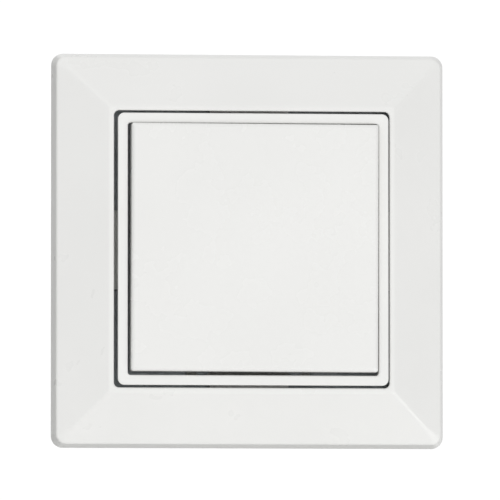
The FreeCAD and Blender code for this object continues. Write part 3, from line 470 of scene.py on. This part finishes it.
# contact silver: pale and soft, faintly clouded
silver_pad = plated("contact_silver", "#e2e1dd", "#cfcdc8", (0.3, 0.42), 0.8, 1, 1.5)
dressed("bridge_tips", silver_pad, 0.12)
dressed("fixed_tips", silver_pad, 0.1)


# Terminals: each wire is gripped by a bent leaf of spring steel, and an orange key that slides in
# the rear wall lifts the leaf to free it.

def bent_strip(path, bend, thick):
    """The outline of a strip bent along a path of points (x, y), rounded by bend at each of them.

    Its two long sides stand off that line by half the thickness, along the line's normal."""
    step = 12.0
    at = np.array(path, float)
    run = np.diff(at, axis=0)
    run /= np.linalg.norm(run, axis=1, keepdims=True)
    bends = [arc(at[i], -run[i - 1], run[i], bend, step) for i in range(1, len(at) - 1)]
    line = np.concatenate([at[:1], *bends, at[-1:]])
    along = np.gradient(line, axis=0)
    normal = np.stack([-along[:, 1], along[:, 0]], axis=-1)
    normal /= np.linalg.norm(along, axis=1, keepdims=True)
    return np.concatenate([line + normal * thick / 2, (line - normal * thick / 2)[::-1]])


# tempered spring strip: grey, bright along its rolling lines
leaf_steel = plated("spring_steel_leaf", "#b3b5b6", "#9a9c9e", (0.2, 0.32), 2.0, 8, 1.5)
# orange polyamide: a strong signal colour on a satin key
key_orange = resin("polyamide_orange", "#e0761f", "#d66c17", (0.36, 0.46), 0.3, 3.0)
leaf = bent_strip([(13.9, 14.9), (13.9, 6.35), (12.95, 6.35), (10.35, 12.4)], 0.45, 0.36)
for hand, side in (("right", 1), ("left", -1)):
    clamp = made(shell(
        "clamp_leaf_" + hand, [bar(leaf * (side, 1), 2, -13.4, -6.6)], leaf_steel, 30))
    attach(clamp, "housing")
    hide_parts("clamp_spring_" + hand)
    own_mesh(clamp)
    dressed("release_lever_" + hand, key_orange, 0.15)


# Claws: folded from plated strip and hung in the ring, each drawn outward by a wedge nut that climbs
# a plated machine screw, so that the teeth bite into the wall of the box.

def turned_form(outline, middle):
    """A turned form along Y, closed on its axis at x = middle. An outline point (radius r, y)
    leaves the circle (middle + r cos a, y, r sin a)."""
    around = 40
    r, y = (np.array(outline, float)[:, i, None] for i in range(2))
    a = np.linspace(0, 2 * math.pi, around, endpoint=False)[None, :]
    x, z = r * np.cos(a) + middle, r * np.sin(a)
    return grid_skin(np.stack([x, np.broadcast_to(y, x.shape), z], axis=-1), closed=False)


def thread(root, crest, pitch, low, high, middle):
    """A right-hand screw thread along Y, closed on its axis at x = middle.

    Its radius goes from root to crest by a triangular wave of y / pitch plus the share of the turn,
    with its tops and bottoms cut flat. At the high end it tapers to 0.75 of the crest."""
    around, rows_per_pitch = 28, 8
    y = np.linspace(low, high, int((high - low) / pitch * rows_per_pitch) + 1)[:, None]
    a = np.linspace(0, 2 * math.pi, around, endpoint=False)[None, :]
    wave = np.abs(((y / pitch + a / (2 * math.pi)) % 1.0) * 2 - 1)
    r = root + (crest - root) * np.clip(wave * 1.5 - 0.25, 0, 1)
    r = np.minimum(r, 0.75 * crest + 0.8 * (high - y))
    y = np.broadcast_to(y, r.shape)
    r = np.concatenate([np.full((1, around), pole), r, np.full((1, around), pole)])
    y = np.concatenate([y[:1], y, y[-1:]])
    return grid_skin(np.stack([r * np.cos(a) + middle, y, r * np.sin(a)], axis=-1), closed=False)


# zinc on folded strip: light grey, with short lines left by the tool
claw_strip = plated("zinc_plated_claw", "#c3c8ca", "#aab0b5", (0.3, 0.42), 1.6, 6, 3.0)
# zinc on a machine screw: the brightest of the plated parts, without lines
screw_zinc = plated("zinc_plated_screw", "#c8ccce", "#b2b7bb", (0.2, 0.32), 1.0, 1, 1.5)
head_side = [(pole, -2.65), (1.7, -2.65), (2.15, -2.58), (2.48, -2.3), (2.6, -1.9), (2.6, -1.15),
             (2.5, -1.05), (1.5, -1.05), (pole, -1.05)]
for hand, side in (("right", 1), ("left", -1)):
    dressed("claw_" + hand, claw_strip, 0.12)
    dressed("claw_nut_" + hand, claw_strip, 0.2)
    x = side * 21.6
    # the driver's slot is 0.8 mm wide and deep, and cut before the thread is joined to the head
    screw = made(shell(
        "claw_screw_thread_" + hand, [turned_form(head_side, x)], screw_zinc, 40))
    blade_side = [(x - 3, -3.2), (x + 3, -3.2), (x + 3, -1.85), (x - 3, -1.85)]
    blade = made(shell("slot_cutter_" + hand, [bar(blade_side, 2, -0.4, 0.4)], screw_zinc))
    cut = screw.modifiers.new("driver_slot", "BOOLEAN")
    cut.operation, cut.object = "DIFFERENCE", blade
    bpy.context.view_layer.update()
    cut_head = screw.evaluated_get(bpy.context.evaluated_depsgraph_get())
    slotted = bpy.data.meshes.new_from_object(cut_head)
    screw.modifiers.clear()
    bpy.data.objects.remove(blade)
    joined = bmesh.new()
    joined.from_mesh(slotted)
    joined.from_mesh(shell("claw_screw_shaft_" + hand, [thread(1.16, 1.5, 0.8, -1.2, 20, x)],
                           screw_zinc, 40))
    joined.to_mesh(slotted)
    joined.free()
    screw.data = slotted
    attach(screw, "claw_screw_" + hand)
    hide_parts("claw_screw_" + hand)


# Setting: the switch hangs in front of white paper in a tent of light. The tent is brightest at the
# left and leaves a dark part behind, at the left and below, so the frame's edges there go grey. The
# key stands low and to the right, and a narrow beam from behind shows the back but not the front.

world = bpy.data.worlds.new("light_tent")
bpy.context.scene.world = world
world.use_nodes = True
sky = world.node_tree
sky.nodes.clear()
ray = add(sky, "LightPath")
toward = add(sky, "TexCoord").outputs["Generated"]
facing = add(sky, "SeparateXYZ", {"Vector": toward})
# how far a direction leans to the dark part, and the soft edge where the tent ends
lean = add(sky, "VectorMath", {0: toward, 1: (-1.09, 1.0, -0.62)}, operation="DOT_PRODUCT")
bright = add(sky, "MapRange", {"Value": lean.outputs["Value"], "From Min": 0.727,
                               "From Max": 0.827, "To Min": 0.85, "To Max": 0.0},
             interpolation_type="SMOOTHSTEP")
across = add(sky, "MapRange", {"Value": facing.outputs["X"], "From Min": -1.0, "From Max": 1.0,
                               "To Min": 1.44, "To Max": 0.56})
above = add(sky, "MapRange", {"Value": facing.outputs["Z"], "From Min": -1.0, "From Max": 1.0,
                              "To Min": 0.92, "To Max": 1.08})
width = add(sky, "Math", {0: bright.outputs["Result"], 1: across.outputs["Result"]},
            operation="MULTIPLY")
glow = add(sky, "Math", {0: width.outputs[0], 1: above.outputs["Result"]}, operation="MULTIPLY")
tent = add(sky, "Background", {"Color": (1, 1, 1, 1), "Strength": glow.outputs[0]})
paper = add(sky, "Background", {"Color": (1, 1, 1, 1), "Strength": 1.05})
both = add(sky, "MixShader", {0: ray.outputs["Is Camera Ray"], 1: tent.outputs[0],
                              2: paper.outputs[0]})
add(sky, "OutputWorld", {"Surface": both.outputs[0]})


def softbox(name, place, size, watts, spread=180):
    """A square soft light that looks at the switch, its beam spread over that many degrees."""
    lamp = bpy.data.lights.new(name, "AREA")
    lamp.shape, lamp.size, lamp.energy, lamp.spread = "SQUARE", size, watts, math.radians(spread)
    body = bpy.data.objects.new(name, lamp)
    bpy.context.scene.collection.objects.link(body)
    body.location = place
    body.visible_camera = False
    body.rotation_euler = (-body.location).to_track_quat("-Z", "Y").to_euler()


softbox("key_softbox", (0.85, -1.0, -0.85), 1.3, 8.5)
softbox("rear_softbox", (-0.2, 1.3, 0.12), 0.4, 0.75, spread=50)

# pale floor paper: matt and near white, with a faint felt of 5 to 6 mm
floor_half, floor_low = 0.8, -0.9
floor_paper = bpy.data.materials.new("pale_floor_paper")
floor_paper.use_nodes = True
paper_tree = floor_paper.node_tree
paper_tree.nodes.clear()
paper_place = add(paper_tree, "TexCoord").outputs["Object"]
felt = add(paper_tree, "TexNoise", {"Vector": paper_place, "Scale": 180.0})
paper_tone = add(paper_tree, "ValToRGB", {"Fac": felt.outputs["Fac"]},
                 ((0.3, "#f4f4f3"), (0.7, "#f8f8f7")))
paper_face = add(paper_tree, "BsdfDiffuse", {"Color": paper_tone.outputs["Color"]})
add(paper_tree, "OutputMaterial", {"Surface": paper_face.outputs["BSDF"]})
floor_mesh = bpy.data.meshes.new("floor")
floor_mesh.from_pydata([(x * floor_half, y * floor_half, floor_low)
                        for x, y in ((-1, -1), (1, -1), (1, 1), (-1, 1))], [], [(0, 1, 2, 3)])
floor_mesh.materials.append(floor_paper)
floor = made(floor_mesh)

bpy.context.scene.view_settings.view_transform = "Standard"
bpy.context.scene.view_settings.look = "None"

# The camera stands two metres away, a little to the left and below, with a long lens. The switch
# has 4.925 pixels to the millimetre in the photograph, and its middle lies off the picture's by
# 2.8 and 1.6 pixels.
turn, lift, away = math.radians(-6.2), math.radians(-2.9), 2.0
px_per_mm, image_px, sensor_mm = 4.925, 500, 36.0
camera_data = bpy.data.cameras.new("camera")
camera_data.sensor_width = sensor_mm
camera_data.lens = px_per_mm * 1000 * away / image_px * sensor_mm
camera_data.clip_start, camera_data.clip_end = 0.1, 20
camera_data.shift_x, camera_data.shift_y = 2.8 / image_px, 1.6 / image_px
camera = bpy.data.objects.new("camera", camera_data)
bpy.context.scene.collection.objects.link(camera)
camera.location = (away * math.sin(turn) * math.cos(lift),
                   -away * math.cos(turn) * math.cos(lift),
                   away * math.sin(lift))
camera.rotation_euler = (-camera.location).to_track_quat("-Z", "Y").to_euler()
bpy.context.scene.camera = camera
